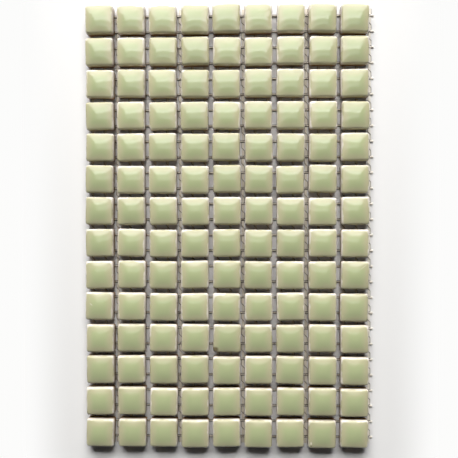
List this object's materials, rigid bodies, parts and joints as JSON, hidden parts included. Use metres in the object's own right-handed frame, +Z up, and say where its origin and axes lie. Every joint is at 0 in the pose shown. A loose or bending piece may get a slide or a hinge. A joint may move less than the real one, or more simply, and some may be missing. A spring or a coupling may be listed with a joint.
{
  "type": "ceramic mosaic tile sheet",
  "caption": "Flat sheet of small square ceramic mosaic tiles with cushioned, glazed faces, held in even rows by a glass-fibre mesh, for bedding in adhesive and grouting.",
  "frame": {"origin": "under the middle of the sheet's box, on the surface that the mesh lies on", "axes": "+X across the columns, towards the side where the mesh stands out; +Y along the sheet's length, from the lowest row to the top row; +Z up, out of the glazed faces"},
  "size_m": [0.1073, 0.1641, 0.0055],
  "materials": {
    "celadon_glaze": "gloss",
    "glass_fibre_mesh": "matte"
  },
  "bodies": {
    "root": {"tile_row_01": "celadon_glaze", "tile_row_02": "celadon_glaze", "tile_row_03": "celadon_glaze", "tile_row_04": "celadon_glaze", "tile_row_05": "celadon_glaze", "tile_row_06": "celadon_glaze", "tile_row_07": "celadon_glaze", "tile_row_08": "celadon_glaze", "tile_row_09": "celadon_glaze", "tile_row_10": "celadon_glaze", "tile_row_11": "celadon_glaze", "tile_row_12": "celadon_glaze", "tile_row_13": "celadon_glaze", "tile_row_14": "celadon_glaze", "mesh_upper_half": "glass_fibre_mesh", "mesh_lower_half": "glass_fibre_mesh"}
  },
  "joints": []
}
